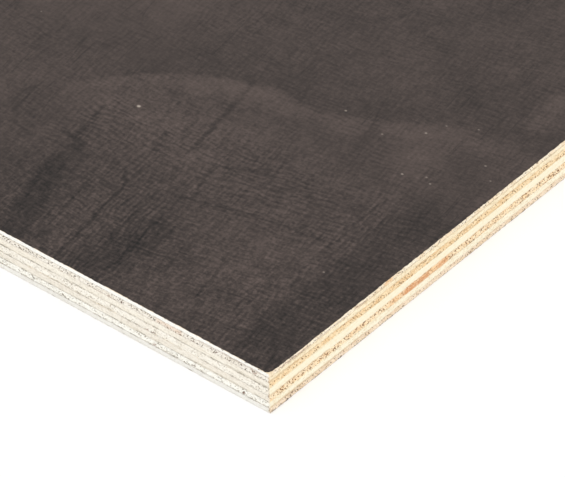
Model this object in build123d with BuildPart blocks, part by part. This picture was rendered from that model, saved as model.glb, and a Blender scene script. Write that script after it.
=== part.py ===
from build123d import *
import os

# Film-faced birch plywood: seven veneers glued crosswise, with a film on both faces.
# The origin is under the middle of the sheet. X runs along its length, Y across it.

# Size of the whole sheet, in millimetres
sheet_length = 2500
sheet_width = 1250

# Thickness of each layer, from the underside up
bottom_film_thickness = 0.1
back_veneer_thickness = 1.0
lower_crossband_thickness = 1.35
lower_long_veneer_thickness = 1.45
centre_crossband_thickness = 1.65
upper_long_veneer_thickness = 1.4
upper_crossband_thickness = 1.05
face_veneer_thickness = 0.9
top_film_thickness = 0.1

# The tip that is broken off the top film at the +X, -Y corner, along each edge
film_chip = 0.9

os.makedirs("parts", exist_ok=True)

# The underside film and the veneers are whole rectangles, each lying on the one before
plain_layers = [
    ("bottom_film", bottom_film_thickness),
    ("back_veneer", back_veneer_thickness),
    ("lower_crossband", lower_crossband_thickness),
    ("lower_long_veneer", lower_long_veneer_thickness),
    ("centre_crossband", centre_crossband_thickness),
    ("upper_long_veneer", upper_long_veneer_thickness),
    ("upper_crossband", upper_crossband_thickness),
    ("face_veneer", face_veneer_thickness),
]
stack_height = 0
for layer_name, layer_thickness in plain_layers:
    with BuildPart() as layer:
        with BuildSketch(Plane.XY.offset(stack_height)):
            Rectangle(sheet_length, sheet_width)
        extrude(amount=layer_thickness)
    layer.part.label = layer_name
    export_step(layer.part, f"parts/{layer_name}.step")
    stack_height += layer_thickness

# The top film closes the stack, and has lost its tip at one corner
with BuildPart() as top_film:
    with BuildSketch(Plane.XY.offset(stack_height)):
        Rectangle(sheet_length, sheet_width)
    extrude(amount=top_film_thickness)
    upright_edges = top_film.edges().filter_by(Axis.Z)
    right_end_edges = upright_edges.sort_by(Axis.X)[-2:]
    chamfer(right_end_edges.sort_by(Axis.Y)[0], length=film_chip)
top_film.part.label = "top_film"
export_step(top_film.part, "parts/top_film.step")
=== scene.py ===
import bpy
from math import cos, pi, radians, sin
from mathutils import Matrix, Vector


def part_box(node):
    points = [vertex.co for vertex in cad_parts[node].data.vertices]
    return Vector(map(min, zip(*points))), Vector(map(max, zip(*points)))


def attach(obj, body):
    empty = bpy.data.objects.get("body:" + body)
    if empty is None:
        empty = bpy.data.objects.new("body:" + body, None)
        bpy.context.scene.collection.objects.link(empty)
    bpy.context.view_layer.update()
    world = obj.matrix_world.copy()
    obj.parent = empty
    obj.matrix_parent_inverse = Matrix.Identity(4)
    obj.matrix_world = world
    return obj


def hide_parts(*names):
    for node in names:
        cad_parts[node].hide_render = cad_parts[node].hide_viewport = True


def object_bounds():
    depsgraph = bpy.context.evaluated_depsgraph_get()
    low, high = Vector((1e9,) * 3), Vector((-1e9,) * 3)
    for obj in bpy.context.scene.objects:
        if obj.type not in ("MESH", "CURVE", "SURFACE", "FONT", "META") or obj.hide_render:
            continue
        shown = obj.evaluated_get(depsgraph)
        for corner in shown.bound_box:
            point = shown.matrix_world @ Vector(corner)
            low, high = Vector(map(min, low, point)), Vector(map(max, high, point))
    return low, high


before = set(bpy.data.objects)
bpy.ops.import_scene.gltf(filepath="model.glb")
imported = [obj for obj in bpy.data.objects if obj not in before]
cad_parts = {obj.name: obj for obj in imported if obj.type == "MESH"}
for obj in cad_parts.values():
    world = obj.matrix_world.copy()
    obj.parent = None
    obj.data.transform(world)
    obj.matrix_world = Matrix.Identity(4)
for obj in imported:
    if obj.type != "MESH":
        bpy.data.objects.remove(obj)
cadLow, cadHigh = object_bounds()
print("plywood sheet: frame loaded")

# The camera looks at the corner at the greatest x and the least y. Places on the sheet are given in
# millimetres from that corner: "fromEnd" runs along -x and "fromSide" along +y.
mm = 0.001
cornerX = cadHigh.x
cornerY = cadLow.y
topZ = cadHigh.z


def paint(red, green, blue):
    # a colour as it is read off a screen, 0 to 255, made linear for the shaders
    shares = (red / 255, green / 255, blue / 255)
    return (*(s / 12.92 if s <= 0.04045 else ((s + 0.055) / 1.055) ** 2.4 for s in shares), 1.0)


# Helpers for node trees. They serve shader trees and geometry trees alike.
def fill(tree, socket, value):
    if isinstance(value, bpy.types.NodeSocket):
        tree.links.new(value, socket)
    else:
        socket.default_value = value


def place(tree, kind, inputs=None, **settings):
    node = tree.nodes.new(kind)
    for key, value in settings.items():
        setattr(node, key, value)
    for key, value in (inputs or {}).items():
        fill(tree, node.inputs[key], value)
    return node


def calc(tree, operation, *terms):
    return place(tree, "ShaderNodeMath", dict(enumerate(terms)), operation=operation).outputs[0]


def product(tree, *terms):
    result = terms[0]
    for term in terms[1:]:
        result = calc(tree, "MULTIPLY", result, term)
    return result


def ramp(tree, value, start, end, low=0.0, high=1.0):
    inputs = {"Value": value, "From Min": start, "From Max": end, "To Min": low, "To Max": high}
    return place(tree, "ShaderNodeMapRange", inputs, interpolation_type="SMOOTHSTEP").outputs["Result"]


def point(tree, x, y, z=0.0):
    return place(tree, "ShaderNodeCombineXYZ", {0: x, 1: y, 2: z}).outputs[0]


def noise(tree, x, y, z, detail=2.0, roughness=0.5):
    inputs = {"Vector": point(tree, x, y, z), "Scale": 1.0, "Detail": detail, "Roughness": roughness}
    return place(tree, "ShaderNodeTexNoise", inputs).outputs[0]


def over(tree, value, length):
    return calc(tree, "DIVIDE", value, length)


def scaled(tree, first, second, size):
    # two coordinates measured in the two lengths of a pattern
    return over(tree, first, size[0]), over(tree, second, size[1])


def mixColour(tree, amount, first, second, **settings):
    node = place(tree, "ShaderNodeMix", data_type="RGBA", clamp_factor=True, **settings)
    for index, value in ((0, amount), (6, first), (7, second)):
        fill(tree, node.inputs[index], value)
    return node.outputs[2]


def newGroup(name, inputs, outputs, kind="ShaderNodeTree"):
    # an input given as a tuple is a colour, one given as a Vector is a place, and None is a geometry
    group = bpy.data.node_groups.new(name, kind)
    kinds = {tuple: "NodeSocketColor", Vector: "NodeSocketVector", type(None): "NodeSocketGeometry"}
    for label, value in inputs.items():
        socket = group.interface.new_socket(
            label, in_out="INPUT", socket_type=kinds.get(type(value), "NodeSocketFloat"))
        if value is not None:
            socket.default_value = value
    outputKinds = {"Color": "NodeSocketColor", "Geometry": "NodeSocketGeometry"}
    for label in outputs:
        group.interface.new_socket(
            label, in_out="OUTPUT", socket_type=outputKinds.get(label, "NodeSocketFloat"))
    return group, place(group, "NodeGroupInput").outputs, place(group, "NodeGroupOutput").inputs


def useGroup(tree, group, inputs):
    node = place(tree, "ShaderNodeGroup", node_tree=group)
    for label, value in inputs.items():
        fill(tree, node.inputs[label], value)
    return node.outputs


def newMaterial(name):
    material = bpy.data.materials.new(name)
    material.use_nodes = True
    tree = material.node_tree
    return material, tree, tree.nodes["Principled BSDF"]


def sheetPlaces(tree, where=None):
    # millimetres in from the short end, in from the long side, and above the floor
    if where is None:
        where = place(tree, "ShaderNodeTexCoord").outputs["Object"]
    x, y, z = place(tree, "ShaderNodeSeparateXYZ", {0: where}).outputs[:3]
    fromEnd = product(tree, calc(tree, "SUBTRACT", cornerX, x), 1 / mm)
    fromSide = product(tree, calc(tree, "SUBTRACT", y, cornerY), 1 / mm)
    return fromEnd, fromSide, product(tree, z, 1 / mm)


# Camera, lamps and floor
camera = {
    "azimuth": 41.335,       # degrees round from looking along +y
    "elevation": 39.054,     # degrees down on the sheet
    "roll": -1.775,          # degrees
    "lens": 272.6,           # millimetres on a sensor 36 mm wide
    "distance": 0.7305,      # metres from the near corner, along the view
    "cornerRight": -13.471,  # pixels from the middle of the picture to the near corner
    "cornerDown": 135.836,
    "pictureWidth": 565,     # pixels
}


def addCamera(c):
    turn, lift, roll = radians(c["azimuth"]), radians(c["elevation"]), radians(c["roll"])
    level = Vector((cos(turn), sin(turn), 0))
    back = Vector((sin(turn) * cos(lift), -cos(turn) * cos(lift), sin(lift)))
    upright = back.cross(level)
    right = level * cos(roll) + upright * sin(roll)
    up = upright * cos(roll) - level * sin(roll)
    bpy.ops.object.camera_add()
    lens = bpy.context.object
    lens.name = "photoCamera"
    lens.data.sensor_width = 36
    lens.data.lens = c["lens"]
    lens.data.clip_start = 0.01
    lens.data.clip_end = 200
    perPixel = c["distance"] * lens.data.sensor_width / (c["lens"] * c["pictureWidth"])
    aside = right * c["cornerRight"] * perPixel
    below = up * c["cornerDown"] * perPixel
    spot = Vector((cornerX, cornerY, topZ)) + back * c["distance"] - aside + below
    lens.matrix_world = Matrix.Translation(spot) @ Matrix((right, up, back)).transposed().to_4x4()
    bpy.context.scene.camera = lens


studio = {
    "skyStrength": 0.85,     # even light from all round
    "whiteStrength": 1.0,    # the background as the camera and glossy surfaces see it
    "lamps": {               # name: (place in metres from the near corner, width in metres, watts, colour)
        "keyLamp": ((2.6, -0.4, 2.2), 2.2, 32, (1.0, 0.985, 0.95)),
        "fillLamp": ((0.5, -3.0, 2.0), 2.2, 32, (0.97, 0.985, 1.0)),
    },
    "floorWidth": 60.0,      # metres
    "floorDrop": 0.02 * mm,  # keeps the floor just clear of the underside
    "floorColour": (0.8, 0.8, 0.8, 1),
    "floorLift": 0.17,       # added for the camera alone, so that open floor is white and keeps its shadow
}


def addStudio(s):
    world = bpy.data.worlds.new("softSky")
    bpy.context.scene.world = world
    world.use_nodes = True
    tree = world.node_tree
    tree.nodes.clear()
    path = place(tree, "ShaderNodeLightPath").outputs
    mirrored = calc(tree, "MAXIMUM", path["Is Glossy Ray"], path["Is Transmission Ray"])
    seen = calc(tree, "MAXIMUM", path["Is Camera Ray"], mirrored)
    strength = ramp(tree, seen, 0.0, 1.0, s["skyStrength"], s["whiteStrength"])
    sky = place(tree, "ShaderNodeBackground", {"Color": (1, 1, 1, 1), "Strength": strength})
    place(tree, "ShaderNodeOutputWorld", {"Surface": sky.outputs[0]})

    nearCorner = Vector((cornerX, cornerY, 0))
    for name, (spot, width, watts, colour) in s["lamps"].items():
        bpy.ops.object.light_add(type="AREA", location=nearCorner + Vector(spot))
        lamp = bpy.context.object
        lamp.name = name
        lamp.data.shape = "DISK"
        lamp.data.size = width
        lamp.data.energy = watts
        lamp.data.color = colour
        lamp.rotation_euler = Vector(spot).to_track_quat("Z", "Y").to_euler()

    bpy.ops.mesh.primitive_plane_add(size=s["floorWidth"], location=(0, 0, -s["floorDrop"]))
    floor = bpy.context.object
    floor.name = "studioFloor"
    material = bpy.data.materials.new("whiteFloor")
    material.use_nodes = True
    tree = material.node_tree
    tree.nodes.clear()
    matt = place(tree, "ShaderNodeBsdfDiffuse", {"Color": s["floorColour"]})
    lift = product(tree, place(tree, "ShaderNodeLightPath").outputs["Is Camera Ray"], s["floorLift"])
    glow = place(tree, "ShaderNodeEmission", {"Color": (1, 1, 1, 1), "Strength": lift})
    both = place(tree, "ShaderNodeAddShader", {0: matt.outputs[0], 1: glow.outputs[0]})
    place(tree, "ShaderNodeOutputMaterial", {"Surface": both.outputs[0]})
    floor.data.materials.append(material)


bpy.context.scene.view_settings.view_transform = "Standard"
bpy.ops.object.select_all(action="DESELECT")
addCamera(camera)
addStudio(studio)
print("plywood sheet: camera, lamps and floor set")


# A soft stroke or spot at a given place: 1 in its middle, 0 outside its width
def makeSoftStroke():
    group, given, out = newGroup("softStroke", {
        "Place": Vector(), "Way": Vector((1, 0, 0)), "Side": Vector((0, 1, 0)), "Begin": 0.0, "Offset": 0.0,
        "Length": 1.0, "Width": 1.0, "Widening": 0.0, "Softness": 0.8}, ["Amount"])

    def reach(axis, origin):
        spot = {0: given["Place"], 1: given[axis]}
        whole = place(group, "ShaderNodeVectorMath", spot, operation="DOT_PRODUCT").outputs["Value"]
        return calc(group, "SUBTRACT", whole, given[origin])

    along, across = reach("Way", "Begin"), reach("Side", "Offset")
    gone = calc(group, "MINIMUM", calc(group, "MAXIMUM", along, 0.0), given["Length"])
    past = calc(group, "SUBTRACT", along, gone)
    away = calc(group, "SQRT", calc(group, "MULTIPLY_ADD", past, past, product(group, across, across)))
    width = calc(group, "MULTIPLY_ADD", gone, given["Widening"], given["Width"])
    spread = product(group, width, given["Softness"])
    inner, outer = calc(group, "SUBTRACT", width, spread), calc(group, "ADD", width, spread)
    fill(group, out["Amount"], ramp(group, away, inner, outer, 1.0, 0.0))
    return group


softStroke = makeSoftStroke()


def addStroke(tree, spot, start, stop, widths, softness):
    start, stop = Vector((*start, 0.0)), Vector((*stop, 0.0))
    way, length = (stop - start).normalized(), (stop - start).length
    side = Vector((-way.y, way.x, 0.0))
    return useGroup(tree, softStroke, {
        "Place": spot, "Way": way, "Side": side, "Begin": start.dot(way), "Offset": start.dot(side),
        "Length": length, "Width": widths[0], "Widening": (widths[1] - widths[0]) / length,
        "Softness": softness})["Amount"]


# Patterns of sawn birch, in millimetres. The same ones colour the wood and cut its relief.
fibres = {
    "clumpSize": (1.7, 0.9),     # along the cut and up it, of the places where strokes crowd together
    "clumping": 0.3,
    "bareLevel": 0.7,            # where in the noise a stroke begins when the cover is 0
    "coveredLevel": 0.35,        # and when it is 1
    "softness": 0.11,
}


def fibrePattern(tree, along, height, given):
    # torn fibres and cut vessels of end grain, as strokes that lean by the slant: 1 in a stroke, 0 between
    lean, rise = calc(tree, "SINE", given["Slant"]), calc(tree, "COSINE", given["Slant"])
    across = calc(tree, "ADD", product(tree, along, rise), product(tree, height, lean))
    down = calc(tree, "SUBTRACT", product(tree, height, rise), product(tree, along, lean))
    size = (given["Fibre Width"], given["Fibre Length"])
    field = noise(tree, *scaled(tree, across, down, size), given["Seed"], 2.0, 0.6)
    elsewhere = calc(tree, "ADD", given["Seed"], 31.7)
    clumps = noise(tree, *scaled(tree, along, height, fibres["clumpSize"]), elsewhere)
    clumps = product(tree, calc(tree, "SUBTRACT", clumps, 0.5), fibres["clumping"])
    field = calc(tree, "ADD", field, clumps)
    bare, covered = fibres["bareLevel"], fibres["coveredLevel"]
    start = calc(tree, "MULTIPLY_ADD", given["Fibre Cover"], covered - bare, bare)
    return ramp(tree, field, start, calc(tree, "ADD", start, fibres["softness"]))


glueLines = {
    "grainSize": (0.4, 0.24),    # of the grains that a line is broken into
    "dashLength": 3.1,
    "wanderLength": 1.3,
    "narrowest": 0.4,            # shares of the seam width
    "widest": 1.6,
    "rowShift": 7.3,             # sets the patterns of neighbouring lines apart
}


def seamPattern(tree, along, height, given):
    # the glue line above and below a veneer, which wanders and is broken into grains
    toLow = calc(tree, "SUBTRACT", height, given["Low"])
    toHigh = calc(tree, "SUBTRACT", given["High"], height)
    isLow = calc(tree, "LESS_THAN", toLow, toHigh)
    isHigh = calc(tree, "GREATER_THAN", toLow, toHigh)

    def ofNearest(low, high):
        return calc(tree, "ADD", product(tree, isLow, given[low]), product(tree, isHigh, given[high]))

    row = product(tree, ofNearest("Low", "High"), glueLines["rowShift"])
    grains = noise(tree, *scaled(tree, along, height, glueLines["grainSize"]), row, 2.0, 0.6)
    grains = ramp(tree, grains, 0.34, 0.62, 0.15, 1.0)
    dashes = noise(tree, over(tree, along, glueLines["dashLength"]), row, 5.0, 2.0)
    dashes = ramp(tree, dashes, 0.3, 0.66, 0.3, 1.0)
    wander = noise(tree, over(tree, along, glueLines["wanderLength"]), row, 9.0, 3.0)
    wander = ramp(tree, wander, 0.25, 0.75, glueLines["narrowest"], glueLines["widest"])
    width = product(tree, given["Seam Width"], wander)
    band = ramp(tree, calc(tree, "MINIMUM", toLow, toHigh), 0.0, width, 1.0, 0.0)
    return product(tree, band, grains, dashes, ofNearest("Low Seam", "High Seam"))


cutValues = {
    "Low": 0.0, "High": 1.0, "Slant": 0.6, "Fibre Width": 0.3, "Fibre Length": 1.2, "Fibre Cover": 0.5,
    "End Grain": 1.0, "Seam Width": 0.14, "Low Seam": 0.5, "High Seam": 0.5, "Seed": 0.0,
}


birchGrain = {
    "streakSize": (6.0, 0.17),   # along the cut and up it
    "gritSize": (0.42, 0.34),
    "patchHeight": 0.9,
}


def makeSawnBirch():
    group, given, out = newGroup("sawnBirch", {
        "Along": 0.0, "Height": 0.0, **cutValues, "Streaks": 0.2, "Specks": 0.2, "Patches": 0.3,
        "Patch Length": 9.0, "Wood": paint(250, 240, 215), "Patch": paint(240, 215, 185),
        "Fibre": paint(190, 150, 110), "Speck": paint(200, 185, 160), "Glue": paint(205, 185, 155)},
        ["Color", "Relief"])
    along, height, seed = given["Along"], given["Height"], given["Seed"]

    def marks(size, shift, detail, roughness, start, end, amount):
        field = noise(group, *scaled(group, along, height, size), calc(group, "ADD", seed, shift),
                      detail, roughness)
        return product(group, ramp(group, field, start, end), given[amount])

    torn = product(group, fibrePattern(group, along, height, given), given["End Grain"])
    streaks = marks(birchGrain["streakSize"], 0.0, 3.0, 0.6, 0.35, 0.7, "Streaks")
    grit = marks(birchGrain["gritSize"], 55.5, 2.0, 0.7, 0.42, 0.74, "Specks")
    patchSize = (given["Patch Length"], birchGrain["patchHeight"])
    patches = marks(patchSize, 77.7, 3.0, 0.6, 0.4, 0.66, "Patches")
    seams = seamPattern(group, along, height, given)
    colour = mixColour(group, patches, given["Wood"], given["Patch"])
    colour = mixColour(group, streaks, colour, given["Speck"])
    colour = mixColour(group, grit, colour, given["Speck"])
    colour = mixColour(group, torn, colour, given["Fibre"])
    colour = mixColour(group, seams, colour, given["Glue"])
    dents = calc(group, "ADD", calc(group, "MAXIMUM", torn, seams), product(group, grit, 0.4))
    fill(group, out["Color"], colour)
    fill(group, out["Relief"], calc(group, "SUBTRACT", 1.0, dents))
    return group


sawnBirch = makeSawnBirch()


# Relief of the two sawn edges at the near corner: torn end grain, glue lines and waves, all cut inwards
meshing = {
    "fineReach": 100 * mm,   # how far from the near corner the sawn edges have a fine mesh and relief
    "fadeReach": 90 * mm,    # where the relief begins to fade
    "fineStep": 0.16 * mm,
    "veneerRows": 6,
    "edgeSlack": 0.01 * mm,  # how near to a sawn edge counts as on it
}
# The tip broken off the top film at the near corner
chip = {
    "legs": 0.9 * mm,        # along each edge, as in the solid
    "raggedDepth": 0.26,     # millimetres
    "raggedPitch": 0.4,
    "raggedReach": 1.5,      # how far in from the break the film is pushed about
}
diagonal = 0.7               # the share of a length along both axes that lies across the corner


def makeSawRelief():
    group, given, out = newGroup("sawRelief", {
        "Geometry": None, **cutValues, "End Tear": 0.1, "Side Tear": 0.1, "Seam Depth": 0.08,
        "Wave Depth": 0.04, "Wave Length": 9.0, "End Slant": 0.6, "Side Slant": 0.6, "Chip Legs": 0.0,
        "Chip Depth": 0.2}, ["Geometry"], "GeometryNodeTree")
    fromEnd, fromSide, height = sheetPlaces(group, place(group, "GeometryNodeInputPosition").outputs[0])
    offsets = []
    cuts = (
        (fromEnd, fromSide, "End Tear", "End Slant", -mm),
        (fromSide, fromEnd, "Side Tear", "Side Slant", mm),
    )
    for across, along, tear, slant, inward in cuts:
        values = {label: given[label] for label in cutValues}
        values["Slant"] = given[slant]
        torn = product(group, fibrePattern(group, along, height, values), given[tear])
        seams = product(group, seamPattern(group, along, height, values), given["Seam Depth"])
        row = calc(group, "ADD", given["Seed"], 3.3)
        wave = noise(group, over(group, along, given["Wave Length"]), row, inward / mm, 2.0)
        wave = product(group, ramp(group, wave, 0.25, 0.75), given["Wave Depth"])
        depth = calc(group, "ADD", calc(group, "MAXIMUM", torn, seams), wave)
        atEdge = calc(group, "LESS_THAN", across, meshing["edgeSlack"] / mm)
        fade = ramp(group, along, meshing["fadeReach"] / mm, meshing["fineReach"] / mm, 1.0, 0.0)
        offsets.append(product(group, depth, atEdge, fade, inward))
    # the ragged break across the corner, which dies out inwards
    beyond = calc(group, "SUBTRACT", calc(group, "ADD", fromEnd, fromSide), given["Chip Legs"])
    dying = ramp(group, product(group, beyond, diagonal), 0.0, chip["raggedReach"], 1.0, 0.0)
    alongBreak = calc(group, "SUBTRACT", fromEnd, fromSide)
    ragged = noise(group, over(group, alongBreak, chip["raggedPitch"]), 3.7, 0.0, 2.0, 0.7)
    isChipped = calc(group, "GREATER_THAN", given["Chip Legs"], 0.0)
    ragged = product(
        group, ramp(group, ragged, 0.3, 0.75), given["Chip Depth"], dying, isChipped, diagonal * mm)
    shift = point(
        group, calc(group, "SUBTRACT", offsets[0], ragged), calc(group, "ADD", offsets[1], ragged))
    moved = place(group, "GeometryNodeSetPosition", {"Geometry": given["Geometry"], "Offset": shift})
    fill(group, out["Geometry"], moved.outputs[0])
    return group


sawRelief = makeSawRelief()


def applyRelief(piece, values):
    modifier = piece.modifiers.new("relief", "NODES")
    modifier.node_group = sawRelief
    for item in sawRelief.interface.items_tree:
        if item.in_out == "INPUT" and item.name in values:
            modifier[item.identifier] = float(values[item.name])
    selectOnly(piece)
    bpy.ops.object.modifier_apply(modifier="relief")


def selectOnly(piece):
    bpy.ops.object.select_all(action="DESELECT")
    piece.select_set(True)
    bpy.context.view_layer.objects.active = piece


# Meshes of the layers
def selectEdges(piece, wanted):
    # edges whose two ends pass the test, in edit mode
    bpy.ops.mesh.select_mode(type="EDGE")
    bpy.ops.mesh.select_all(action="DESELECT")
    bpy.ops.object.mode_set(mode="OBJECT")
    spots = piece.data.vertices
    for edge in piece.data.edges:
        edge.select = wanted(*(spots[end].co for end in edge.vertices))
    bpy.ops.object.mode_set(mode="EDIT")


def selectRimCells(piece, reach):
    # the edges round each level face that touches a sawn edge near the corner, in edit mode
    bpy.ops.mesh.select_all(action="DESELECT")
    bpy.ops.object.mode_set(mode="OBJECT")
    mesh = piece.data
    spots, edges, loops = mesh.vertices, mesh.edges, mesh.loops
    slack = meshing["edgeSlack"]
    for face in mesh.polygons:
        if abs(face.normal.z) > 0.5:
            right = max(spots[corner].co.x for corner in face.vertices)
            front = min(spots[corner].co.y for corner in face.vertices)
            atEnd = right > cornerX - slack and front < cornerY + reach
            atSide = front < cornerY + slack and right > cornerX - reach
            if atEnd or atSide:
                for loop in face.loop_indices:
                    edges[loops[loop].edge_index].select = True
    bpy.ops.object.mode_set(mode="EDIT")


def addMasterLayer():
    # A sheet 1 mm thick on the floor. Its square cells are halved again and again along the two sawn
    # edges that meet at the near corner, so that they are fine there and stay large elsewhere.
    length, width = cadHigh.x - cadLow.x, cadHigh.y - cadLow.y
    bpy.ops.mesh.primitive_cube_add(size=1, location=(0, 0, mm / 2))
    master = bpy.context.object
    master.name = "layer_master"
    master.scale = (length, width, mm)
    bpy.ops.object.transform_apply(location=True, rotation=True, scale=True)
    bpy.ops.object.mode_set(mode="EDIT")
    selectEdges(master, lambda a, b: abs(a.x - b.x) > length / 2)
    bpy.ops.mesh.subdivide(number_cuts=1)
    cell = width
    while cell > meshing["fineStep"]:
        selectRimCells(master, meshing["fineReach"])
        bpy.ops.mesh.subdivide(number_cuts=1)
        cell /= 2
    bpy.ops.mesh.select_all(action="DESELECT")
    bpy.ops.object.mode_set(mode="OBJECT")
    return master


def copyLayer(master, node, rows):
    # a copy of the master with its own mesh, as thick and as high up as the node
    low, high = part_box(node)
    selectOnly(master)
    bpy.ops.object.duplicate(linked=False)
    layer = bpy.context.object
    layer.name = node + "_piece"
    layer.data.name = node + "_piece"
    layer.scale.z = (high.z - low.z) / mm
    layer.location.z = low.z
    bpy.ops.object.transform_apply(location=True, rotation=True, scale=True)
    if rows > 1:
        bpy.ops.object.mode_set(mode="EDIT")
        selectEdges(layer, lambda a, b: abs(a.z - b.z) > (high.z - low.z) / 2)
        bpy.ops.mesh.subdivide(number_cuts=rows - 1)
        bpy.ops.object.mode_set(mode="OBJECT")
    return layer


def finishPiece(piece, node):
    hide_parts(node)
    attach(piece, "root")


layerMaster = addMasterLayer()
print("plywood sheet: plain layer meshed,", len(layerMaster.data.vertices), "vertices")


# Veneers. The short end is the warm cut at the right of the picture and the long side is the pale one
# at its left. The long side's colours, its glue too, are paler, greyer and cooler than the short end's for
# the same birch: painted light and shade. A veneer whose grain runs along the sheet shows end grain on the
# short end. The marks are (colour, strength, start, stop, widths, softness), with places as (along the cut,
# above the floor).
pit = paint(112, 84, 68)
softPit = paint(160, 128, 112)
filmSmear = paint(92, 80, 74)
faceVeneer = {
    "node": "face_veneer", "slot": "long_grain_birch", "seed": 1.0, "alongSheet": True, "tear": 0.08,
    "end": {"Wood": paint(251, 241, 220), "Patch": paint(244, 218, 182), "Fibre": paint(112, 92, 74),
            "End Grain": 0.9, "Fibre Cover": 0.4, "Speck": paint(200, 182, 146), "Specks": 0.6,
            "Low Seam": 0.9, "High Seam": 0.2, "Patches": 0.7},
    "side": {"Wood": paint(254, 252, 246), "Patch": paint(248, 245, 236), "Speck": paint(196, 190, 176),
             "Streaks": 0.1, "Specks": 0.35, "Low Seam": 0.7, "High Seam": 0.0, "Patches": 0.5},
    "endMarks": [
        (paint(238, 196, 148), 0.8, (31.6, 8.6), (33.2, 8.5), (0.5, 0.4), 0.8),
        (paint(240, 224, 208), 0.35, (1.5, 8.7), (9.0, 8.6), (0.25, 0.25), 0.9),
        (pit, 0.8, (5.1, 8.35), (5.3, 8.25), (0.18, 0.14), 0.7),
        (pit, 0.8, (6.2, 8.5), (6.4, 8.4), (0.18, 0.14), 0.7),
        (softPit, 0.75, (3.6, 8.42), (11.0, 8.3), (0.15, 0.13), 0.8),
        (softPit, 0.75, (23.2, 8.42), (25.8, 8.3), (0.15, 0.13), 0.8),
        (softPit, 0.5, (13.0, 8.35), (21.0, 8.3), (0.13, 0.12), 0.8),
    ],
    "sideMarks": [
        (softPit, 0.4, (0.0, 8.1), (16.0, 8.05), (0.2, 0.18), 0.9),
        (filmSmear, 0.8, (1.4, 8.95), (2.6, 8.86), (0.12, 0.1), 0.5),
        (filmSmear, 0.7, (12.4, 8.95), (13.6, 8.86), (0.12, 0.1), 0.5),
        (filmSmear, 0.9, (10.5, 8.95), (10.7, 8.78), (0.16, 0.1), 0.5),
        (filmSmear, 0.8, (16.4, 8.95), (16.3, 8.82), (0.14, 0.1), 0.5),
        (filmSmear, 0.7, (5.3, 8.95), (5.5, 8.84), (0.14, 0.1), 0.5),
        (filmSmear, 0.7, (23.6, 8.95), (23.9, 8.84), (0.14, 0.1), 0.5),
    ],
}
upperCrossband = {
    "node": "upper_crossband", "slot": "cross_grain_birch", "seed": 12.0, "alongSheet": False, "tear": 0.16,
    "end": {"Wood": paint(253, 242, 214), "Patch": paint(249, 233, 200), "Speck": paint(206, 176, 132),
            "Streaks": 0.3, "Specks": 0.6, "Low Seam": 0.5, "High Seam": 0.7, "Patches": 0.5},
    "side": {"Wood": paint(248, 242, 231), "Patch": paint(234, 224, 208), "Fibre": paint(104, 88, 76),
             "End Grain": 0.9, "Fibre Cover": 0.45, "Speck": paint(176, 164, 146), "Specks": 0.5,
             "Low Seam": 0.5, "High Seam": 0.7, "Patches": 0.6},
    "endMarks": [
        (paint(206, 170, 122), 0.6, (0.0, 7.15), (13.0, 7.03), (0.32, 0.14), 0.8),
    ],
    "sideMarks": [
        (paint(170, 122, 80), 0.8, (0.0, 7.9), (0.1, 7.1), (0.15, 0.13), 0.6),
        (softPit, 0.8, (3.0, 7.6), (3.6, 7.15), (0.14, 0.1), 0.6),
        (softPit, 0.8, (3.9, 7.85), (3.7, 7.3), (0.12, 0.12), 0.6),
        (pit, 0.8, (11.9, 7.6), (12.4, 7.2), (0.16, 0.1), 0.6),
        (pit, 0.6, (12.9, 7.5), (13.2, 7.3), (0.12, 0.1), 0.6),
        (pit, 0.7, (17.1, 7.3), (17.6, 7.1), (0.16, 0.1), 0.6),
        (paint(234, 210, 190), 0.65, (20.5, 7.55), (25.5, 7.6), (0.45, 0.5), 0.9),
        (pit, 0.7, (33.5, 7.35), (34.0, 7.15), (0.16, 0.1), 0.6),
        (softPit, 0.7, (36.8, 7.25), (37.3, 7.1), (0.16, 0.1), 0.6),
    ],
}
upperLongVeneer = {
    "node": "upper_long_veneer", "slot": "long_grain_birch", "seed": 23.0, "alongSheet": True, "tear": 0.12,
    "end": {"Wood": paint(250, 228, 190), "Patch": paint(236, 200, 152), "Fibre": paint(128, 90, 54),
            "End Grain": 0.85, "Fibre Cover": 0.46, "Speck": paint(200, 164, 112), "Specks": 0.6,
            "Low Seam": 0.3, "High Seam": 0.3, "Patches": 0.8},
    "side": {"Wood": paint(250, 244, 231), "Patch": paint(244, 234, 218), "Speck": paint(190, 178, 158),
             "Streaks": 0.25, "Specks": 0.5, "Low Seam": 1.0, "High Seam": 0.4, "Patches": 0.5},
    "endMarks": [
        (paint(250, 240, 210), 0.7, (0.0, 5.62), (24.0, 5.62), (0.2, 0.18), 0.7),
    ],
    "sideMarks": [
        (paint(186, 174, 156), 0.45, (0.0, 5.82), (10.0, 5.86), (0.26, 0.22), 0.9),
    ],
}
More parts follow.
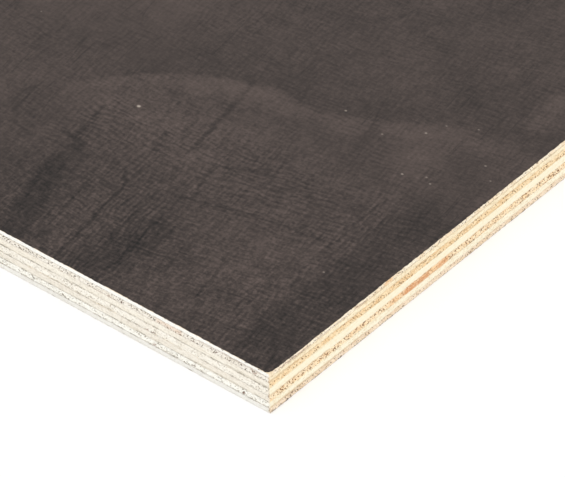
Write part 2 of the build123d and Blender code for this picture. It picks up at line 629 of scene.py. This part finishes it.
centreCrossband = {
    "node": "centre_crossband", "slot": "cross_grain_birch", "seed": 34.0, "alongSheet": False, "tear": 0.1,
    "end": {"Wood": paint(249, 243, 221), "Patch": paint(248, 239, 212), "Speck": paint(232, 212, 172),
            "Streaks": 0.25, "Specks": 0.4, "Low Seam": 0.2, "High Seam": 0.2, "Patches": 0.5},
    "side": {"Wood": paint(250, 245, 234), "Patch": paint(242, 234, 219), "Fibre": paint(164, 152, 134),
             "End Grain": 0.7, "Fibre Cover": 0.4, "Speck": paint(190, 178, 160), "Specks": 0.5,
             "Low Seam": 1.0, "High Seam": 1.0, "Patches": 0.6},
    "endMarks": [
        (paint(200, 162, 116), 0.55, (0.0, 4.02), (16.0, 3.96), (0.24, 0.14), 0.8),
    ],
    "sideMarks": [
        (paint(150, 108, 78), 0.8, (0.0, 4.4), (0.1, 4.0), (0.18, 0.2), 0.7),
        (pit, 0.8, (26.6, 4.15), (27.2, 3.98), (0.18, 0.12), 0.6),
        (softPit, 0.8, (27.9, 4.1), (28.4, 4.0), (0.14, 0.12), 0.6),
        (pit, 0.7, (30.5, 4.15), (30.9, 3.98), (0.16, 0.12), 0.6),
        (softPit, 0.7, (33.7, 4.15), (33.9, 4.0), (0.14, 0.12), 0.6),
    ],
}
lowerLongVeneer = {
    "node": "lower_long_veneer", "slot": "long_grain_birch", "seed": 45.0, "alongSheet": True, "tear": 0.18,
    "end": {"Wood": paint(255, 238, 206), "Patch": paint(242, 206, 160), "Fibre": paint(130, 86, 52),
            "End Grain": 0.9, "Fibre Cover": 0.52, "Speck": paint(204, 162, 120), "Specks": 0.6,
            "Low Seam": 0.3, "High Seam": 0.4, "Patches": 0.6},
    "side": {"Wood": paint(247, 241, 229), "Patch": paint(239, 230, 216), "Speck": paint(188, 176, 156),
             "Streaks": 0.25, "Specks": 0.5, "Low Seam": 1.0, "High Seam": 0.9, "Patches": 0.5},
    "endMarks": [
        (paint(252, 245, 218), 0.8, (0.0, 2.5), (40.0, 2.48), (0.18, 0.16), 0.7),
        (paint(243, 198, 150), 0.5, (33.0, 3.1), (48.0, 3.1), (1.1, 1.0), 0.9),
        (paint(212, 150, 104), 0.8, (37.4, 3.0), (43.0, 3.0), (0.8, 0.65), 0.9),
        (paint(216, 156, 110), 0.65, (46.5, 3.1), (48.5, 3.1), (0.6, 0.6), 0.9),
    ],
    "sideMarks": [
        (pit, 0.6, (0.2, 3.75), (0.6, 3.6), (0.2, 0.14), 0.7),
        (paint(186, 176, 158), 0.4, (8.0, 2.58), (19.0, 2.55), (0.24, 0.2), 0.9),
    ],
}
lowerCrossband = {
    "node": "lower_crossband", "slot": "cross_grain_birch", "seed": 56.0, "alongSheet": False, "tear": 0.14,
    "end": {"Wood": paint(252, 247, 227), "Patch": paint(249, 240, 214), "Speck": paint(214, 190, 150),
            "Streaks": 0.25, "Specks": 0.6, "Low Seam": 0.4, "High Seam": 0.2, "Patches": 0.5},
    "side": {"Wood": paint(254, 252, 244), "Patch": paint(244, 239, 227), "Fibre": paint(126, 114, 98),
             "End Grain": 0.8, "Fibre Cover": 0.38, "Speck": paint(186, 176, 158), "Specks": 0.5,
             "Low Seam": 1.0, "High Seam": 1.0, "Patches": 0.5},
    "endMarks": [
        (paint(196, 162, 120), 0.6, (0.0, 1.24), (26.0, 1.2), (0.28, 0.2), 0.8),
    ],
    "sideMarks": [
        (pit, 0.95, (5.8, 1.6), (6.1, 1.42), (0.24, 0.16), 0.6),
        (pit, 0.8, (17.2, 1.65), (17.8, 1.4), (0.2, 0.14), 0.6),
        (softPit, 0.8, (26.5, 1.5), (26.8, 1.35), (0.2, 0.14), 0.6),
    ],
}
backVeneer = {
    "node": "back_veneer", "slot": "long_grain_birch", "seed": 67.0, "alongSheet": True, "tear": 0.12,
    "end": {"Wood": paint(246, 229, 206), "Patch": paint(231, 205, 172), "Fibre": paint(108, 84, 66),
            "End Grain": 0.85, "Fibre Cover": 0.42, "Speck": paint(196, 168, 138), "Specks": 0.6,
            "Low Seam": 0.3, "High Seam": 0.3, "Patches": 0.7},
    "side": {"Wood": paint(242, 240, 234), "Patch": paint(237, 233, 225), "Speck": paint(200, 194, 182),
             "Streaks": 0.25, "Specks": 0.4, "Low Seam": 0.1, "High Seam": 1.0, "Patches": 0.5},
    "endMarks": [
        (paint(128, 116, 108), 0.7, (0.2, 0.25), (1.4, 0.2), (0.2, 0.14), 0.7),
        (paint(128, 116, 108), 0.7, (2.2, 0.2), (3.0, 0.2), (0.16, 0.14), 0.7),
        (paint(128, 116, 108), 0.7, (4.1, 0.2), (4.9, 0.2), (0.16, 0.12), 0.7),
    ],
    "sideMarks": [
        (paint(124, 98, 80), 0.8, (0.0, 1.0), (0.1, 0.3), (0.15, 0.18), 0.7),
    ],
}
cutLooks = {
    # both slants are measured away from the near corner, so the saw's strokes mirror each other there
    "end": {"Glue": paint(176, 148, 112), "Slant": radians(38), "Fibre Width": 0.26, "Fibre Length": 0.66,
            "Seam Width": 0.26},
    # painted shade: the long side's glue and wood are given greyer, cooler colours than the short end's
    "side": {"Glue": paint(140, 130, 114), "Slant": radians(38), "Fibre Width": 0.26, "Fibre Length": 0.6,
             "Seam Width": 0.26},
}
patchLengths = {"endGrain": 2.4, "longGrain": 9.0}
arris = {"tint": paint(226, 202, 164), "strength": 0.42, "width": 0.3}   # upright, at the near corner
markWaver = {"size": (0.8, 0.5), "along": 1.2, "up": 0.7, "least": 0.9, "wear": 2.0}
sawnFinish = {"Roughness": 0.85, "Specular IOR Level": 0.2}
sawnBump = {"Strength": 0.5, "Distance": 0.12 * mm}
longGrainTear = 0.02         # millimetres cut from a veneer sawn along its grain
sawCut = {
    "Seam Depth": 0.1, "Wave Depth": 0.06, "Wave Length": 7.0, "Fibre Width": 0.26, "Fibre Length": 0.6,
}


def makeCutMaterial(veneer, cut):
    # the sawn face of one veneer, on the short ends ("end") or on the long sides ("side")
    low, high = (corner.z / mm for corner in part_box(veneer["node"]))
    material, tree, shader = newMaterial(f"{veneer['node']}_{cut}")
    fromEnd, fromSide, height = sheetPlaces(tree)
    along = fromSide if cut == "end" else fromEnd

    def waver(shift, reach):
        value = noise(tree, *scaled(tree, along, height, markWaver["size"]), shift, 2.0, 0.6)
        return product(tree, calc(tree, "SUBTRACT", value, 0.5), reach)

    showsEndGrain = veneer["alongSheet"] == (cut == "end")
    wood = useGroup(tree, sawnBirch, {
        "Along": along, "Height": height, "Low": low, "High": high, "Seed": veneer["seed"],
        "End Grain": 0.0, "Streaks": 0.0,
        "Patch Length": patchLengths["endGrain" if showsEndGrain else "longGrain"],
        **cutLooks[cut], **veneer[cut]})
    colour = wood["Color"]
    marks = list(veneer[cut + "Marks"])
    if cut == "side":
        widths = (arris["width"], arris["width"])
        marks.append((arris["tint"], arris["strength"], (0, low), (0, high), widths, 0.9))
    spot = point(tree, calc(tree, "ADD", along, waver(41.0, markWaver["along"])),
                 calc(tree, "ADD", height, waver(47.0, markWaver["up"])))
    wornAway = calc(tree, "ADD", markWaver["least"], waver(53.0, markWaver["wear"]))
    for tint, strength, start, stop, widths, softness in marks:
        amount = product(tree, addStroke(tree, spot, start, stop, widths, softness), wornAway, strength)
        colour = mixColour(tree, amount, colour, tint)
    bump = place(tree, "ShaderNodeBump", {"Height": wood["Relief"], **sawnBump})
    fill(tree, shader.inputs["Base Color"], colour)
    fill(tree, shader.inputs["Normal"], bump.outputs[0])
    for label, value in sawnFinish.items():
        shader.inputs[label].default_value = value
    return material


def wearMaterials(piece, endMaterial, sideMaterial):
    # the second material goes to the faces that look along y
    piece.data.materials.append(endMaterial)
    piece.data.materials.append(sideMaterial)
    for face in piece.data.polygons:
        face.material_index = 1 if abs(face.normal.y) > 0.7 else 0


def addVeneer(veneer):
    low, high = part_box(veneer["node"])
    piece = copyLayer(layerMaster, veneer["node"], meshing["veneerRows"])
    wearMaterials(piece, makeCutMaterial(veneer, "end"), makeCutMaterial(veneer, "side"))
    torn = veneer["end" if veneer["alongSheet"] else "side"]
    applyRelief(piece, {
        **sawCut, "Low": low.z / mm, "High": high.z / mm, "Seed": veneer["seed"],
        "Fibre Cover": torn["Fibre Cover"],
        "End Tear": veneer["tear"] if veneer["alongSheet"] else longGrainTear,
        "Side Tear": longGrainTear if veneer["alongSheet"] else veneer["tear"],
        "Low Seam": veneer["side"]["Low Seam"], "High Seam": veneer["side"]["High Seam"],
        "End Slant": cutLooks["end"]["Slant"], "Side Slant": cutLooks["side"]["Slant"]})
    finishPiece(piece, veneer["node"])
    print("plywood sheet:", veneer["node"], "sawn,", len(piece.data.polygons), "faces")


for layer in (backVeneer, lowerCrossband, lowerLongVeneer, centreCrossband, upperLongVeneer, upperCrossband,
              faceVeneer):
    addVeneer(layer)


# The look of the film, whose paper has taken up the weave under it: ripples along and across the sheet,
# threads of it, grain, hairlines, clouds and dust. The ripples' dents are also painted darker, as shade.
weave = {
    # sizes are (from the end, from the side) in millimetres
    "along": {"pitch": 1.3, "warpSize": (9, 7), "patchSizes": ((11, 7), (2.5, 1.3))},
    "across": {"pitch": 1.1, "warpSize": (7, 9), "patchSizes": ((7, 12), (1.2, 2.5))},
    "warp": 4.0,                 # how far the ripples are pushed about, in pitches
    "turn": 0.2, "turnReach": 47.0, "turnSoftness": 12.0,    # the lines along the sheet turn near its end
    "lean": -0.16,               # and the ones across it lean
    "cloudSizes": ((26, 20), (6, 5)),
    "hairSize": (2.6, 26), "hairPatchSize": (8, 15), "hairWidth": 0.03,
    "threadSizes": ((3.2, 0.6), (0.55, 3.2)),
    "grainSize": (0.7, 0.6),
    # the weave is pressed deeper near the corner: (from, to, depth before, depth after)
    "bitesFromSide": ((42.0, 58.0, 1.0, 0.62), (10.0, 30.0, 1.2, 1.0)),
    "bitesFromEnd": ((67.0, 80.0, 1.0, 0.65),),
    "evenBite": 0.55,            # the depth over the rest of the sheet
}
looseDust = {
    "spacing": 15.0,             # millimetres
    "smallest": 0.008, "largest": 0.02,    # shares of the spacing
    "share": 0.5,                # of the places that have a speck
    "startsBeyond": (95.0, 110.0),
}
markedReach = (130.0, 190.0)     # where the corner's own marks and depths give way to the even film


def makeFilmLook():
    group, given, out = newGroup("filmLook", {
        "From End": 0.0, "From Side": 0.0, "Ripple Mask": 0.0, "Cross Mask": 0.0, "Clouds": 0.06,
        "Ripples": 0.05, "Cross Ripples": 0.035, "Threads": 0.1, "Hairlines": 0.1, "Grain": 0.04,
        "Dust": 0.5, "Seed": 0.0}, ["Tone", "Height", "Dust"])
    fromEnd, fromSide, seed = given["From End"], given["From Side"], given["Seed"]

    def field(size, shift, detail=2.0, roughness=0.5, across=fromEnd, down=fromSide):
        layer = calc(group, "ADD", seed, shift)
        return noise(group, *scaled(group, across, down, size), layer, detail, roughness)

    def evened(value):
        return calc(group, "SUBTRACT", value, 0.5)

    def ripples(position, looks, shifts, patchStart, more):
        # even waves, plain to see in patches of their own and where the mask asks for more
        warp = field(looks["warpSize"], shifts[0])
        phase = calc(group, "MULTIPLY_ADD", warp, weave["warp"], over(group, position, looks["pitch"]))
        wave = ramp(group, calc(group, "SINE", product(group, phase, 2 * pi)), -1.0, 0.7, 1.0, 0.0)
        broad, small = looks["patchSizes"]
        patches = ramp(group, field(broad, shifts[1]), patchStart, 0.68, 0.1, 0.6)
        patches = product(group, patches, ramp(group, field(small, shifts[2]), 0.3, 0.65))
        return product(group, wave, calc(group, "ADD", patches, given[more]))

    bend = calc(group, "SMOOTH_MIN", fromEnd, weave["turnReach"], weave["turnSoftness"])
    level = calc(group, "MULTIPLY_ADD", bend, weave["turn"], fromSide)
    leaning = calc(group, "MULTIPLY_ADD", fromSide, weave["lean"], fromEnd)
    along = ripples(level, weave["along"], (2.2, 3.3, 5.7), 0.4, "Ripple Mask")
    across = ripples(leaning, weave["across"], (4.4, 5.5, 7.1), 0.42, "Cross Mask")

    stretch = 4.0    # noise keeps near its middle
    broad, small = weave["cloudSizes"]
    smallClouds = product(group, evened(field(small, 9.9, 3.0)), 0.8)
    clouds = calc(group, "ADD", evened(field(broad, 1.1)), smallClouds)
    clouds = product(group, clouds, given["Clouds"], stretch)
    hair = evened(field(weave["hairSize"], 6.6, 1.0, across=leaning))
    hair = ramp(group, calc(group, "ABSOLUTE", hair), 0.0, weave["hairWidth"], 1.0, 0.0)
    hair = product(group, hair, ramp(group, field(weave["hairPatchSize"], 7.7), 0.52, 0.66))
    alongSize, acrossSize = weave["threadSizes"]
    threads = calc(group, "ADD", field(alongSize, 12.1, 1.0, down=level),
                   field(acrossSize, 14.3, 1.0, across=leaning))
    threads = evened(product(group, 0.5, threads))
    grain = evened(field(weave["grainSize"], 8.8, 3.0, 0.8))
    bite = 1.0
    for position, steps in ((fromSide, weave["bitesFromSide"]), (fromEnd, weave["bitesFromEnd"])):
        for step in steps:
            bite = product(group, bite, ramp(group, position, *step))
    farthest = calc(group, "MAXIMUM", fromEnd, fromSide)
    bite = ramp(group, farthest, *markedReach, bite, weave["evenBite"])
    grain, threads = product(group, grain, bite), product(group, threads, bite)

    tone = calc(group, "ADD", 1.0, clouds)
    # painted shade: the tone is darkened in the dents of the ripples along and across the sheet
    for pattern, label in ((along, "Ripples"), (across, "Cross Ripples"), (hair, "Hairlines")):
        tone = calc(group, "SUBTRACT", tone, product(group, pattern, given[label]))
    for pattern, label in ((grain, "Grain"), (threads, "Threads")):
        tone = calc(group, "ADD", tone, product(group, pattern, given[label], stretch))
    dents = calc(group, "MAXIMUM", along, product(group, across, 0.7))
    dents = calc(group, "ADD", dents, product(group, hair, 1.5))
    height = calc(group, "SUBTRACT", calc(group, "ADD", product(group, grain, 0.5), threads), dents)

    where = {"Vector": point(group, fromEnd, fromSide, seed), "Scale": 1 / looseDust["spacing"]}
    cells = place(group, "ShaderNodeTexVoronoi", where, voronoi_dimensions="2D").outputs
    lone = place(group, "ShaderNodeSeparateColor", {0: cells["Color"]}).outputs
    size = ramp(group, lone[1], 0.0, 1.0, looseDust["smallest"], looseDust["largest"])
    speck = ramp(group, cells["Distance"], product(group, size, 0.5), size, 1.0, 0.0)
    isThere = calc(group, "GREATER_THAN", lone[0], 1.0 - looseDust["share"])
    beyond = ramp(group, farthest, *looseDust["startsBeyond"])
    fill(group, out["Tone"], tone)
    fill(group, out["Height"], height)
    fill(group, out["Dust"], product(group, speck, isThere, given["Dust"], beyond))
    return group


filmLook = makeFilmLook()

filmColours = {"film": paint(70, 60, 56), "dust": paint(176, 164, 152)}
filmFinish = {"Roughness": 0.55, "Specular IOR Level": 0.2}
filmBump = {"Strength": 0.35, "Distance": 0.03 * mm}
toneCurve = 2.8              # how strongly the tone of the weave, the wear and the painted shade and sheen darkens and lightens the colour
filmWeave = {
    "Clouds": 0.055, "Ripples": 0.14, "Cross Ripples": 0.13, "Threads": 0.17, "Hairlines": 0.12,
    "Grain": 0.2,
}
bottomFilm = {
    "node": "bottom_film", "slot": "phenolic_film", "waveDepth": 0.1, "look": {**filmWeave, "Seed": 40.0},
}
topFilm = {
    "node": "top_film", "slot": "phenolic_film", "waveDepth": 0.18, "look": {**filmWeave, "Seed": 3.0},
    # where the film is wiped darker or lighter, and where shade is painted in along its edges: (share,
    # start, stop, widths, softness)
    "patches": [
        # painted shade: the darker zone along the short end
        (-0.14, (5.0, -6.0), (5.0, 36.0), (5.2, 5.2), 0.35),
        (-0.11, (5.0, 35.0), (5.6, 50.0), (5.0, 4.4), 0.6),
        (-0.09, (5.4, 48.0), (7.5, 66.0), (5.5, 4.6), 0.8),
        (0.04, (12.8, 16.0), (14.0, 58.0), (1.4, 1.6), 0.8),
        (-0.25, (68.4, 21.0), (61.6, 2.0), (2.3, 3.5), 0.4),
        (-0.15, (68.2, 24.5), (62.8, 8.0), (3.2, 4.4), 0.5),
        (-0.09, (71.0, 23.0), (64.5, 2.0), (6.5, 8.0), 0.8),
        (-0.07, (86.0, 34.0), (74.0, 12.0), (6.0, 4.0), 0.9),
        (-0.05, (50.0, 57.0), (24.0, 54.0), (3.0, 3.5), 0.9),
        # painted shade: a darker strip along the long side
        (-0.05, (62.0, 1.0), (14.0, 1.0), (2.4, 2.4), 0.8),
        (-0.13, (45.0, -2.0), (41.0, 17.0), (5.5, 3.4), 0.9),
        (-0.04, (34.0, -2.0), (31.0, 12.0), (6.0, 4.0), 0.9),
        (-0.08, (29.5, 64.0), (28.0, 57.0), (1.4, 1.0), 0.8),
        (0.06, (20.0, 68.0), (17.0, 56.0), (2.8, 2.2), 0.8),
        (0.08, (51.0, 59.5), (45.5, 58.6), (1.7, 1.5), 0.8),
        (0.05, (70.0, 50.0), (63.0, 53.5), (2.0, 2.0), 0.9),
        (-0.04, (64.0, 49.0), (45.0, 54.0), (2.4, 2.6), 0.8),
        (0.06, (72.0, 38.0), (46.0, 37.0), (7.0, 6.0), 0.9),
        (0.05, (58.0, 58.0), (50.0, 60.0), (2.0, 2.0), 0.8),
        (0.12, (6.5, 83.5), (8.0, 92.0), (2.4, 2.2), 0.8),
        (-0.05, (93.0, 36.0), (74.0, 30.0), (1.2, 0.9), 0.8),
        (-0.06, (93.0, 34.0), (87.0, 56.0), (7.0, 7.0), 0.9),
    ],
    # lines scored and pressed into the film: (share darker, start, stop, widths, softness)
    "lines": [
        (0.13, (14.6, 50.0), (13.6, 24.0), (0.3, 0.3), 0.9),
        (0.10, (12.8, 44.0), (12.0, 18.0), (0.3, 0.3), 0.9),
        (0.16, (73.0, 39.0), (70.6, 29.0), (0.35, 0.6), 0.9),
        (0.2, (73.2, 28.8), (68.4, 27.7), (0.6, 0.5), 0.9),
        (0.13, (55.8, 61.0), (53.4, 50.0), (0.6, 0.5), 0.9),
        (0.17, (53.4, 50.0), (51.5, 39.0), (0.5, 0.4), 0.9),
        (0.16, (45.0, 38.0), (42.2, 28.0), (0.4, 0.35), 0.9),
        (0.10, (58.5, 40.0), (57.0, 34.0), (0.35, 0.35), 0.9),
        (0.17, (58.0, 28.0), (54.4, 24.0), (0.3, 0.4), 0.9),
        (0.19, (54.4, 24.0), (51.0, 5.0), (0.4, 0.4), 0.9),
        (0.16, (51.0, 5.0), (50.0, -1.0), (0.4, 0.4), 0.9),
        (0.14, (60.4, 21.0), (58.0, 10.0), (0.35, 0.35), 0.9),
        (0.12, (58.0, 10.0), (56.4, 2.0), (0.3, 0.3), 0.9),
        (0.13, (48.4, 24.0), (45.5, 8.0), (0.35, 0.3), 0.9),
        (0.13, (43.0, 22.0), (40.6, 4.0), (0.4, 0.3), 0.9),
        (0.13, (39.0, 20.0), (37.0, 3.0), (0.3, 0.3), 0.9),
        (0.12, (26.0, 19.0), (23.2, 8.0), (0.3, 0.3), 0.9),
        (0.14, (46.0, 26.5), (31.0, 31.0), (0.35, 0.35), 0.9),
        (0.12, (31.0, 31.0), (17.0, 33.5), (0.35, 0.35), 0.9),
        (0.10, (45.0, 38.0), (36.0, 42.5), (0.35, 0.3), 0.9),
        (0.09, (22.0, 46.0), (16.0, 43.0), (0.35, 0.3), 0.9),
    ],
    # where the ripples along and across the sheet, and the painted shade in their dents, are plain to see:
    # (share, start, stop, widths, softness)
    "alongRippled": [
        (0.6, (68.0, 35.0), (54.0, 35.0), (7.0, 7.0), 0.6),
        (0.5, (40.0, 36.0), (20.0, 36.0), (9.0, 9.0), 0.7),
        (0.45, (58.0, 18.0), (40.0, 14.0), (7.0, 8.0), 0.7),
        (0.35, (6.0, 10.0), (6.0, 46.0), (5.0, 5.0), 0.7),
    ],
    "crossRippled": [
        (0.4, (11.0, 44.0), (10.0, 5.0), (5.0, 7.0), 0.9),
        (0.6, (52.0, 26.0), (45.0, 0.0), (9.0, 9.0), 0.7),
    ],
    # specks of dust: (from the end, from the side, width, strength)
    "specks": [
        (67.7, 42.6, 0.28, 0.8), (36.9, 65.3, 0.18, 0.5), (21.1, 69.2, 0.2, 0.45), (16.9, 57.1, 0.2, 0.5),
        (12.9, 59.1, 0.16, 0.35), (11.2, 58.0, 0.18, 0.4), (27.2, 64.0, 0.16, 0.35),
        (10.2, 26.9, 0.16, 0.35), (6.6, 68.3, 0.18, 0.35), (3.2, 65.4, 0.16, 0.3),
        (19.5, 73.2, 0.16, 0.3), (14.2, 76.0, 0.16, 0.3),
    ],
}
# An arc of painted sheen across the top film, in millimetres from the end and from the side
arc = {
    "step": 10.0,                # between the heights, starting at the end
    "heights": [76.0, 75.2, 73.2, 67.0, 62.3, 62.4, 59.1, 54.0, 43.5, 32.0, 20.0],
    "fades": (72.0, 85.0),
    "bandWidth": 6.0, "bandTone": 0.055,                   # the painted highlight band inside it
    "outerTone": -0.08, "outerReach": 30.0,                # painted shade on the film outside it
    "sharp": 0.9, "blurred": 2.4, "blurs": (16.0, 38.0),   # its outline is blurred towards the short end
    "wanderSize": (5.0, 5.0), "wander": 3.0,
}
filmWaver = {"outline": (2.2, 2.4), "strength": (1.1, 2.2)}    # of the wear and the painted shade on the film: (size, reach)


def arcSheenTone(tree, fromEnd, fromSide):
    # painted sheen: a lighter band inside the arc and darker film outside it
    last = len(arc["heights"]) - 1
    span = last * arc["step"]
    curve = place(tree, "ShaderNodeFloatCurve", {"Value": over(tree, fromEnd, span)})
    points = curve.mapping.curves[0].points
    for index, height in enumerate(arc["heights"]):
        if index in (0, last):
            points[0 if index == 0 else -1].location = (index / last, height / span)
        else:
            points.new(index / last, height / span)
    curve.mapping.update()
    wander = noise(tree, *scaled(tree, fromEnd, fromSide, arc["wanderSize"]), 12.0, 3.0)
    wander = calc(tree, "SUBTRACT", wander, 0.5)
    beyond = calc(tree, "SUBTRACT", fromSide, product(tree, curve.outputs[0], span))
    beyond = calc(tree, "MULTIPLY_ADD", wander, arc["wander"], beyond)
    blur = ramp(tree, fromEnd, *arc["blurs"], arc["blurred"], arc["sharp"])
    inside = ramp(tree, beyond, product(tree, blur, -1.0), blur, 1.0, 0.0)
    band = ramp(tree, beyond, -1.4 * arc["bandWidth"], -0.4 * arc["bandWidth"])
    band = product(tree, band, inside, arc["bandTone"])
    outside = calc(tree, "SUBTRACT", 1.0, inside)
    outside = product(
        tree, outside, ramp(tree, beyond, 0.0, arc["outerReach"], 1.0, 0.4), arc["outerTone"])
    fade = product(
        tree, ramp(tree, fromEnd, *arc["fades"], 1.0, 0.0), ramp(tree, fromSide, *markedReach, 1.0, 0.0))
    return product(tree, fade, calc(tree, "ADD", band, outside))


def gather(tree, spot, strokes):
    # the strongest of the strokes at each place
    most = 0.0
    for amount, start, stop, widths, softness in strokes:
        here = product(tree, addStroke(tree, spot, start, stop, widths, softness), abs(amount))
        most = calc(tree, "MAXIMUM", most, here)
    return most


def wearShadeAndSheenTone(tree, film, fromEnd, fromSide):
    # the wiped patches, the patches of painted shade, the lines and the arc of painted sheen on the top
    # film, all with wavering outlines
    def waver(kind, shift):
        size, reach = filmWaver[kind]
        value = noise(tree, *scaled(tree, fromEnd, fromSide, (size, size)), shift, 3.0, 0.6)
        return product(tree, calc(tree, "SUBTRACT", value, 0.5), reach)

    spot = point(tree, calc(tree, "ADD", fromEnd, waver("outline", 21.0)),
                 calc(tree, "ADD", fromSide, waver("outline", 27.0)))
    wornAway = calc(tree, "ADD", 1.0, waver("strength", 33.0))
    darker = [stroke for stroke in film["patches"] if stroke[0] < 0]
    lighter = [stroke for stroke in film["patches"] if stroke[0] > 0]
    tone = calc(tree, "SUBTRACT", gather(tree, spot, lighter), gather(tree, spot, darker))
    tone = calc(tree, "SUBTRACT", tone, product(tree, gather(tree, spot, film["lines"]), wornAway))
    return calc(tree, "ADD", tone, arcSheenTone(tree, fromEnd, fromSide))


def makeFilmMaterial(film):
    material, tree, shader = newMaterial(film["node"])
    fromEnd, fromSide, _ = sheetPlaces(tree)
    spot = point(tree, fromEnd, fromSide)
    values = {"From End": fromEnd, "From Side": fromSide, **film["look"]}
    if film is topFilm:
        values["Ripple Mask"] = gather(tree, spot, film["alongRippled"])
        values["Cross Mask"] = gather(tree, spot, film["crossRippled"])
    look = useGroup(tree, filmLook, values)
    tone, dust = look["Tone"], look["Dust"]
    if film is topFilm:
        tone = calc(tree, "ADD", tone, wearShadeAndSheenTone(tree, film, fromEnd, fromSide))
        for endPlace, sidePlace, width, strength in film["specks"]:
            start, stop = (endPlace, sidePlace), (endPlace + width / 2, sidePlace)
            speck = addStroke(tree, spot, start, stop, (width, width), 0.6)
            dust = calc(tree, "MAXIMUM", dust, product(tree, speck, strength))
    tone = calc(tree, "POWER", tone, toneCurve)
    grey = place(tree, "ShaderNodeCombineColor", {0: tone, 1: tone, 2: tone}).outputs[0]
    colour = mixColour(tree, 1.0, filmColours["film"], grey, blend_type="MULTIPLY")
    colour = mixColour(tree, dust, colour, filmColours["dust"])
    bump = place(tree, "ShaderNodeBump", {"Height": look["Height"], **filmBump})
    fill(tree, shader.inputs["Base Color"], colour)
    fill(tree, shader.inputs["Normal"], bump.outputs[0])
    for label, value in filmFinish.items():
        shader.inputs[label].default_value = value
    return material


filmCut = {
    "colour": paint(226, 219, 208), "dots": paint(96, 84, 76), "dotSize": (0.5, 0.1), "dotSoftness": 0.08,
    "cleanStart": 0.64, "dirtyStart": 0.5,           # the lower, the more dots
    "dirtyBeside": (5.0, 7.0), "dirtyDepth": (0.3, 0.6),    # where they thin out, from the side and the end
}


def makeFilmCutMaterial(cut):
    # the cut edge of the film under the sheet, coloured pale, with dots of film left near the corner
    material, tree, shader = newMaterial("bottom_film_cut")
    fromEnd, fromSide, height = sheetPlaces(tree)
    around = calc(tree, "ADD", fromEnd, fromSide)
    field = noise(tree, *scaled(tree, around, height, cut["dotSize"]), 4.0, 2.0)
    atEnd = ramp(tree, fromEnd, *cut["dirtyDepth"], 1.0, 0.0)
    dirty = product(tree, atEnd, ramp(tree, fromSide, *cut["dirtyBeside"], 1.0, 0.0))
    fewer = cut["dirtyStart"] - cut["cleanStart"]
    start = calc(tree, "MULTIPLY_ADD", dirty, fewer, cut["cleanStart"])
    dots = ramp(tree, field, start, calc(tree, "ADD", start, cut["dotSoftness"]))
    fill(tree, shader.inputs["Base Color"], mixColour(tree, dots, cut["colour"], cut["dots"]))
    for label, value in filmFinish.items():
        shader.inputs[label].default_value = value
    return material


def breakTip(piece):
    # cuts the near corner straight across. The relief then makes the break ragged.
    selectOnly(piece)
    bpy.ops.object.mode_set(mode="EDIT")
    bpy.ops.mesh.select_all(action="SELECT")
    onBreak = (cornerX - chip["legs"], cornerY, topZ)
    bpy.ops.mesh.bisect(plane_co=onBreak, plane_no=(1, -1, 0), clear_outer=True, use_fill=True)
    bpy.ops.mesh.select_all(action="DESELECT")
    bpy.ops.object.mode_set(mode="OBJECT")


# a film has a wavy rim, and no torn grain or glue line, so its bounds are set far off
filmRim = {
    "Low": -9.0, "High": 99.0, "End Tear": 0.0, "Side Tear": 0.0, "Seam Depth": 0.0, "Wave Length": 1.1,
}


def addFilm(film):
    piece = copyLayer(layerMaster, film["node"], 1)
    piece.data.materials.append(makeFilmMaterial(film))
    if film is topFilm:
        breakTip(piece)
    else:
        piece.data.materials.append(makeFilmCutMaterial(filmCut))
        for face in piece.data.polygons:
            face.material_index = 0 if abs(face.normal.z) > 0.5 else 1
    applyRelief(piece, {
        **filmRim, "Wave Depth": film["waveDepth"], "Seed": film["look"]["Seed"],
        "Chip Legs": chip["legs"] / mm if film is topFilm else 0.0, "Chip Depth": chip["raggedDepth"]})
    finishPiece(piece, film["node"])


addFilm(bottomFilm)
addFilm(topFilm)
bpy.data.objects.remove(layerMaster)
print("plywood sheet: films laid")
